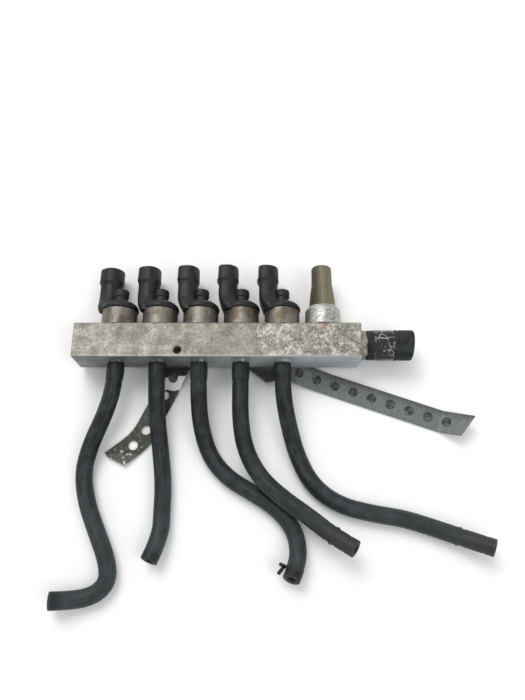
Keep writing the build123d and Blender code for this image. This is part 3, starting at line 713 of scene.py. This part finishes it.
def clamp_piece():
    """The spring clamp near the third hose's end: a band with two tangs, 6 mm back from the end."""
    before, end = [Vector(place) for place in HOSE_ROUTES[2][-2:]]
    way = (end - before).normalized()
    up = Vector((0, 0, 1))
    out = way.cross(up)
    middle = end - way * 6.0
    shape = bmesh.new()
    section = eased([(5.3, -2.4), (5.4, -2.5), (6.15, -2.5), (6.15, 2.5), (5.4, 2.5), (5.3, 2.4)], 0.3)
    turned(shape, section, lambda a, h, b: (middle + out * a + up * b + way * h) * MM, sides=56)
    for stand_off, turn, length in ((0.2, 0.0, 6.0), (2.2, 74.0, 7.0)):
        foot = middle + out * (HOSE_RADIUS + stand_off)
        along = Matrix.Rotation(math.radians(turn), 3, "Z") @ out
        across = up.cross(along)
        rings = []
        tang = ((0.0, 1.9, 1.15), (length - 1.4, 1.9, 1.3), (length - 0.4, 1.6, 1.2), (length, 0.9, 0.7))
        for reach, half, thick in tang:
            corners = ((-half, -thick), (half, -thick), (half, thick), (-half, thick))
            rings.append([(foot + along * reach + up * a + across * b) * MM for a, b in corners])
        skin(shape, rings, cap_first=True, cap_last=True)
    # Blued spring steel: dark, satin, with a faint sheen.
    dark = worn_metal("spring_steel_blued", "262628", "1C1B1A", 0.003, 0.0006, 0.5, metallic=0.4)
    piece = new_piece("clamp", shape, [dark])
    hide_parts("hose_clamp")
    return piece


class RAIL_OT_caps(bpy.types.Operator):
    """Mould the injectors' caps: lip, dome, stub and connector tower"""

    bl_idname = "rail.caps"
    bl_label = "Injector caps"

    def execute(self, context):
        nylon = cap_finish(context.scene.rail_caps)
        for number, (turn, taller) in enumerate(CAPS, start=1):
            low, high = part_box(f"injector_can_{number}")
            axis_x = (low[0] + high[0]) / 2
            turned_by = Matrix.Rotation(math.radians(turn), 3, "Y")
            shape = bmesh.new()
            cap_body(shape)
            cap_tower(shape, taller)
            bmesh.ops.scale(shape, vec=(MM, MM, MM), verts=shape.verts)
            bmesh.ops.rotate(shape, cent=(0, 0, 0), matrix=turned_by, verts=shape.verts)
            bmesh.ops.translate(shape, vec=(axis_x, TOP_FACE * MM, 0), verts=shape.verts)
            piece = new_piece(f"cap_{number}", shape, [nylon], sharp=50.0)
            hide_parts(f"injector_cap_{number}")
        return {"FINISHED"}


def cap_body(shape):
    """The round part of a cap, about its own axis: lip over the can, dome, grooved stub."""
    dome = [(12.3, 12.15), (12.75, 12.7), (12.75, 13.7)]
    for i in range(1, 10):
        a = math.radians(9.0 * i)
        dome.append((4.6 + 8.15 * math.cos(a), 13.7 + 5.2 * math.sin(a) ** 1.15))
    profile = [(11.0, 12.1), *dome, (5.1, 19.2), (4.9, 19.8), (4.8, 22.6), (5.3, 23.0), (5.3, 27.2)]
    profile += [(5.0, 27.9), (3.6, 28.0), (3.4, 27.0), (0.02, 27.0)]
    turned(shape, eased(profile, 0.4, 3), lambda a, h, b: Vector((a, h, b)))


def tower_outline(width, depth, tight, round_):
    """Outline of the tower: its corners are tight on the outer side and round on the stub's."""
    points = []
    corners = ((1, 1, round_), (-1, 1, tight), (-1, -1, tight), (1, -1, round_))
    for quarter, (side, end, radius) in enumerate(corners):
        centre = Vector((side * (width / 2 - radius), end * (depth / 2 - radius)))
        for i in range(9):
            a = math.radians(90 * quarter + 90 * i / 8)
            points.append(centre + Vector((math.cos(a), math.sin(a))) * radius)
    return points


def stacked(shape, layers):
    """Close a skin over outlines of (x, z) points in mm, each given with its height."""
    rings = [[Vector((x, height, z)) for x, z in outline] for height, outline in layers]
    skin(shape, rings, cap_first=True, cap_last=True)


def cap_tower(shape, taller):
    """The connector tower beside the stub: foot, shaft, collar and socket."""
    # Height, how far it leans towards the stub, width and depth of each outline.
    levels = [
        (11.2, 5.2, 14.6, 22.6), (13.0, 4.6, 15.2, 22.8), (15.0, 3.7, 15.6, 22.2), (17.0, 2.7, 15.4, 20.6),
        (19.0, 1.6, 14.8, 18.4), (21.0, 0.7, 14.2, 16.8), (23.0, 0.2, 13.7, 15.8), (25.0, 0.0, 13.4, 15.4),
        (30.6, 0.0, 13.3, 15.3), (32.4, 0.0, 13.5, 15.5), (33.9, 0.0, 14.2, 16.2), (34.5, 0.0, 14.9, 16.9),
        (35.2, 0.0, 15.0, 17.0), (38.0, 0.0, 14.7, 16.7), (43.9, 0.0, 14.5, 16.5), (44.5, 0.0, 14.2, 16.2),
        (44.8, 0.0, 13.4, 15.4), (44.8, 0.0, 12.0, 14.0), (44.4, 0.0, 11.5, 13.5), (43.0, 0.0, 11.4, 13.4),
        (31.9, 0.0, 11.2, 13.2),
    ]
    # The tower is drawn out above this height, and its axis lies this far from the port's.
    drawn_from = 23
    tower_axis = -9.4
    layers = []
    for height, shift, width, depth in levels:
        outline = tower_outline(0.97 * width, depth, width * 0.27, depth * 0.47)
        lifted = height + taller if height > drawn_from else height
        layers.append((lifted, [(p.x + tower_axis + shift, p.y) for p in outline]))
    stacked(shape, layers)
    # The web between tower and stub: height and half its thickness, which tapers towards the stub.
    web = ((12.0, 7.5), (18.0, 6.6), (20.0, 5.0), (22.4, 4.4), (24.0, 3.4), (24.4, 2.2))
    web = [(height, [(-9.0, half), (-3.6, half), (-1.6, half * 0.55)]) for height, half in web]
    # The latch on the collar's outer side: height, how far it stands out, and half its width.
    latch = ((33.9, 0.0, 2.0), (34.8, 0.6, 1.9), (36.6, 0.6, 1.8), (37.6, 0.0, 1.6))
    latch = [(height, [(-15.0, half), (-16.7 - out, half)]) for height, out, half in latch]
    for layers in (web, latch):
        stacked(shape, [(height, [(x, -z) for x, z in edge] + edge[::-1]) for height, edge in layers])


class RAIL_OT_inlet(bpy.types.Operator):
    """Form the short inlet hose and the tape wound round it"""

    bl_idname = "rail.inlet"
    bl_label = "Inlet hose and tape"

    def execute(self, context):
        look = context.scene.rail_tape
        hoses = context.scene.rail_hoses
        low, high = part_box("inlet_hose")
        start = low[0] / MM
        end = high[0] / MM
        length = end - start
        shape = bmesh.new()
        profile = [
            (6.3, 0.0), (9.7, 0.0), (10.0, 0.5), (10.0, 18.3), (10.35, 18.7), (10.35, 20.4), (10.1, 20.8),
            (10.3, 22.4), (10.4, 26.0), (10.35, length - 1.6), (9.9, length - 0.3), (9.3, length),
            (6.4, length), (6.0, length - 0.5), (6.0, 20.0),
        ]
        points = []
        for (r0, h0), (r1, h1) in zip(profile, profile[1:]):
            steps = max(1, round(abs(h1 - h0) / 0.9))
            points += [(r0 + (r1 - r0) * i / steps, h0 + (h1 - h0) * i / steps) for i in range(steps)]
        points.append(profile[-1])

        def rough_place(a, h, b):
            """A point of the uneven hose, its end worn back further on one side."""
            out = Vector((0, a, b))
            bend = 1 + 0.012 * noise.noise(Vector((h, a, b)) * 0.16)
            worn = max(0.0, (h - 24.0) / (length - 24.0)) * (0.9 + 0.08 * (10.0 - a))
            return (Vector((start + h - worn, 0, 0)) + out * bend) * MM

        faces = turned(shape, points, rough_place, sides=80)
        uv = shape.loops.layers.uv.new("UVMap")
        for face in faces:
            for loop in face.loops:
                spot = loop.vert.co
                turn = math.atan2(spot.z, spot.y) / (2 * math.pi)
                loop[uv].uv = (turn % 1.0, end * MM - spot.x + 0.05)
        rubber = hose_finish("rubber_inlet_hose_moulded", hoses.rubber, hoses.dust, hoses.aged, 0.001)
        piece = new_piece("inlet_stub_hose", shape, [rubber])
        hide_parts("inlet_hose")

        # The tape reaches a little past the model's plain band at both ends, and its edges are ragged.
        low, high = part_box("inlet_band")
        start = low[0] / MM - 0.4
        end = high[0] / MM + 0.5
        shape = bmesh.new()
        rings = []
        rows = 44
        sides = 150
        tape_radius = 10.12
        for row in range(rows + 1):
            t = row / rows
            ring = []
            for c, s in circle(sides):
                spot = Vector((t * 3.1, c * 2.6, s * 2.6))
                ragged = 0.5 * noise.noise(spot + Vector((7.0, 0, 0)))
                share = 1 if row in (0, rows) else 1 - abs(2 * t - 1) * 0.5
                x = start + (end - start) * t + ragged * share
                fold = noise.ridged_multi_fractal(spot * 1.1, 0.9, 2.1, 4, 0.9, 2.0)
                edge = min(1.0, 8 * t, 8 * (1 - t))
                radius = tape_radius + edge * (0.12 + fold * look.crease / MM * 0.45)
                ring.append(Vector((x, radius * c, radius * s)) * MM)
            rings.append(ring)
        skin(shape, rings)
        piece = new_piece("inlet_tape", shape, [tape_finish(look)], sharp=24.0)
        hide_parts("inlet_band")
        return {"FINISHED"}


class RAIL_OT_sensor(bpy.types.Operator):
    """Turn the sensor on the last port: zinc foot with its rolled ring, drawn olive stem"""

    bl_idname = "rail.sensor"
    bl_label = "Sensor"

    def execute(self, context):
        look = context.scene.rail_metals
        low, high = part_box("sensor_stem")
        axis_x = (low[0] + high[0]) / 2 / MM
        foot = [
            (8.0, 0.05), (12.5, 0.05), (12.5, 1.2), (12.4, 1.9), (12.4, 5.0), (12.2, 9.0), (11.9, 9.9),
            (12.1, 10.6), (12.0, 11.8), (11.4, 13.0), (10.7, 14.2), (10.0, 14.9), (8.0, 15.0),
        ]
        stem = [
            (9.2, 14.3), (9.15, 15.5), (8.8, 20.0), (8.15, 26.0), (7.45, 31.0), (7.2, 31.8), (7.1, 37.0),
            (7.0, 44.5), (6.6, 45.4), (5.8, 45.75), (0.02, 45.7),
        ]
        # Zinc plate on turned steel gone dull: pale, satin, with short dark streaks.
        zinc = worn_metal(
            "steel_zinc_plated_turned", look.zinc, "9E9C95", 0.0016, 0.0009, 0.52,
            stretch=(0.7, 1.0, 0.7), cover=0.6,
        )

        def pressed(a, h, b):
            """A point of the sensor, a little out of round."""
            out = 1 + 0.02 * noise.noise(Vector((a, 0.25 * h, b)) * 0.3)
            return Vector((axis_x + a * out, TOP_FACE + h, b * out)) * MM

        for name, node, slot, profile, finish in (
            ("sensor_foot", "sensor_body", "sensor_zinc", foot, zinc),
            ("sensor_tube", "sensor_stem", "sensor_olive", stem, stem_finish(look)),
        ):
            shape = bmesh.new()
            turned(shape, eased(profile, 0.5, 3), pressed, sides=96)
            piece = new_piece(name, shape, [finish], sharp=35.0)
            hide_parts(node)
        return {"FINISHED"}


class RAIL_OT_hole_shading(bpy.types.Operator):
    """Fill the strips' holes with dark discs: painted shade for the shadow seen through them."""

    bl_idname = "rail.grime"
    bl_label = "Painted hole shade"

    def execute(self, context):
        shape = bmesh.new()
        disc_radius = 3.32
        rings_out = 11
        sides = 40
        holes = [(LONG_STRIP_TURN, hole) for hole in STRIP_HOLES] + [(FOLD_TURN, hole) for hole in FOLD_HOLES]
        for turn, (x, y, z, tilt) in holes:
            turn, tilt = math.radians(turn), math.radians(tilt)
            heading = Vector((math.cos(turn), -math.sin(turn), 0))
            along = heading * math.cos(tilt) - Vector((0, 0, math.sin(tilt)))
            side = Vector((heading.y, -heading.x, 0))
            normal = side.cross(along)
            centre = Vector((x, y, z)) - normal * 0.25
            rings = []
            for ring in range(1, rings_out + 1):
                radius = disc_radius * ring / rings_out
                points = []
                for c, s in circle(sides):
                    spot = centre + (along * c + side * s) * radius
                    rise = 0.28 * noise.noise(spot * 0.9) + 0.2 * (radius / 3.3) ** 6
                    points.append((spot + normal * rise) * MM)
                rings.append(points)
            skin(shape, rings, cap_first=True)
        # Dark discs of painted shade: matt and crumbled, with paler spots in their pits.
        shade_disc_finish = worn_metal(
            "painted_hole_shade_matt", "3B3C38", "6E6E66", 0.0022, 0.0005, 0.8, metallic=0.0, cover=0.5
        )
        new_piece("strip_hole_shade_discs", shape, [shade_disc_finish], sharp=180.0)
        return {"FINISHED"}


class RAIL_OT_metals(bpy.types.Operator):
    """Give the bar, cans, fitting, strips and inner parts their finishes"""

    bl_idname = "rail.metals"
    bl_label = "Metal finishes"

    def execute(self, context):
        look = context.scene.rail_metals
        finish_node("rail_block", bar_finish(look))
        # Drawn low-carbon steel with a thin rust film: dull, with upright brown stains.
        cans = worn_metal(
            "steel_can_drawn", look.can, look.can_stain, 0.009, 0.0008, 0.52,
            stretch=(1.0, 0.6, 1.0), cover=0.6,
        )
        # Bright nickel plate over turned brass: dark where it mirrors the room, with sharp glints.
        nipple = worn_metal("brass_nickel_plated_turned", "C9CBC9", "8B8A84", 0.003, 0.001, 0.24)
        # Zinc plate gone dull, and the brighter plate of the screws: grey, satin, slightly stained.
        fitting = worn_metal("steel_zinc_plated_dull", "A9A69C", "77736A", 0.004, 0.001, 0.42, cover=0.6)
        screws = worn_metal("steel_screw_zinc_plated", "9C9C99", "6F6C66", 0.003, 0.0008, 0.38)
        # Turned brass inside and tinned brass pins: warm yellow, and a paler, whiter yellow.
        brass = worn_metal("brass_turned", "B39A62", "8A7444", 0.003, 0.0006, 0.32)
        pins = worn_metal("brass_tinned", "BDB49A", "8F866C", 0.002, 0.0005, 0.3)
        seals = plain_rubber("rubber_seal_moulded", "1F1F20")
        for number in range(1, INJECTORS + 1):
            finish_node(f"injector_can_{number}", cans)
            finish_node(f"injector_valve_{number}", brass)
            finish_node(f"injector_terminals_{number}", pins)
            finish_node(f"outlet_nipple_{number}", nipple)
        for number in range(1, INJECTORS + 2):
            finish_node(f"port_seal_{number}", seals)
        finish_node("inlet_fitting", fitting)
        finish_node("bracket_left", short_strip_finish(look))
        finish_node("bracket_right", long_strip_finish(look))
        finish_node("bracket_screws", screws)
        return {"FINISHED"}


class RAIL_OT_stage(bpy.types.Operator):
    """Set the pale floor, the even sky and the two lamps"""

    bl_idname = "rail.stage"
    bl_label = "Stage"

    def execute(self, context):
        look = context.scene.rail_stage
        centre = Vector(look.target)
        floor_shape = bmesh.new()
        bmesh.ops.create_grid(floor_shape, x_segments=2, y_segments=2, size=3.0)
        mesh = bpy.data.meshes.new("floor")
        floor_shape.to_mesh(mesh)
        floor_shape.free()
        floor = placed("floor", mesh)
        # Just below the part, so that the two don't share a plane.
        floor_gap = 0.2 * MM
        floor.location = (centre.x, centre.y, CAD_BOX[0][2] - floor_gap)
        # A paper backdrop: even and matt, it takes soft shadows and no glints.
        paper = bpy.data.materials.new("paper_backdrop_matt")
        paper.use_nodes = True
        surface = {"Base Color": linear(look.floor), "Roughness": 0.9}
        connect(paper.node_tree, paper.node_tree.nodes["Principled BSDF"], surface)
        mesh.materials.append(paper)
        world = bpy.data.worlds.new("even_sky")
        world.use_nodes = True
        sky = world.node_tree.nodes["Background"]
        sky.inputs["Color"].default_value = (1.0, 1.0, 1.0, 1.0)
        sky.inputs["Strength"].default_value = look.sky
        context.scene.world = world
        lamps = (
            ("key", look.key, (-0.75, 1.35, 2.2), 1.5, (1.0, 0.99, 0.97)),
            ("fill", look.fill, (1.4, -0.9, 1.9), 1.3, (0.96, 0.98, 1.0)),
        )
        for name, power, offset, size, tint in lamps:
            data = bpy.data.lights.new(name, "AREA")
            data.energy = power
            data.size = size
            data.color = tint
            lamp = placed(name, data)
            lamp.location = centre + Vector(offset)
            lamp.rotation_euler = Vector(offset).to_track_quat("Z", "Y").to_euler()
        context.scene.view_settings.view_transform = "Standard"
        return {"FINISHED"}


class RAIL_PT_sidebar(bpy.types.Panel):
    """The rail's pieces and their settings"""

    bl_idname = "RAIL_PT_sidebar"
    bl_label = "Fuel Rail"
    bl_space_type = "VIEW_3D"
    bl_region_type = "UI"
    bl_category = "Fuel Rail"

    def draw(self, context):
        for operator, group in STEPS:
            box = self.layout.box()
            box.operator(operator)
            if group:
                settings = getattr(context.scene, group)
                for name in settings.__annotations__:
                    box.prop(settings, name)


# Each operator with the settings it reads, in the order they run.
STEPS = (
    ("rail.camera", ""),
    ("rail.hoses", "rail_hoses"),
    ("rail.caps", "rail_caps"),
    ("rail.inlet", "rail_tape"),
    ("rail.sensor", ""),
    ("rail.grime", ""),
    ("rail.metals", "rail_metals"),
    ("rail.stage", "rail_stage"),
)
SETTINGS = {
    "rail_hoses": RAIL_PG_hoses,
    "rail_caps": RAIL_PG_caps,
    "rail_tape": RAIL_PG_tape,
    "rail_metals": RAIL_PG_metals,
    "rail_stage": RAIL_PG_stage,
}
CLASSES = (
    *SETTINGS.values(),
    RAIL_OT_camera,
    RAIL_OT_hoses,
    RAIL_OT_caps,
    RAIL_OT_inlet,
    RAIL_OT_sensor,
    RAIL_OT_hole_shading,
    RAIL_OT_metals,
    RAIL_OT_stage,
    RAIL_PT_sidebar,
)


def register():
    for cls in CLASSES:
        bpy.utils.register_class(cls)
    for name, group in SETTINGS.items():
        setattr(bpy.types.Scene, name, bpy.props.PointerProperty(type=group))


def unregister():
    for name in SETTINGS:
        delattr(bpy.types.Scene, name)
    for cls in reversed(CLASSES):
        bpy.utils.unregister_class(cls)


def main():
    """Register the add-on and build every piece."""
    register()
    for operator, _ in STEPS:
        module, action = operator.split(".")
        getattr(getattr(bpy.ops, module), action)()


if __name__ == "__main__":
    main()
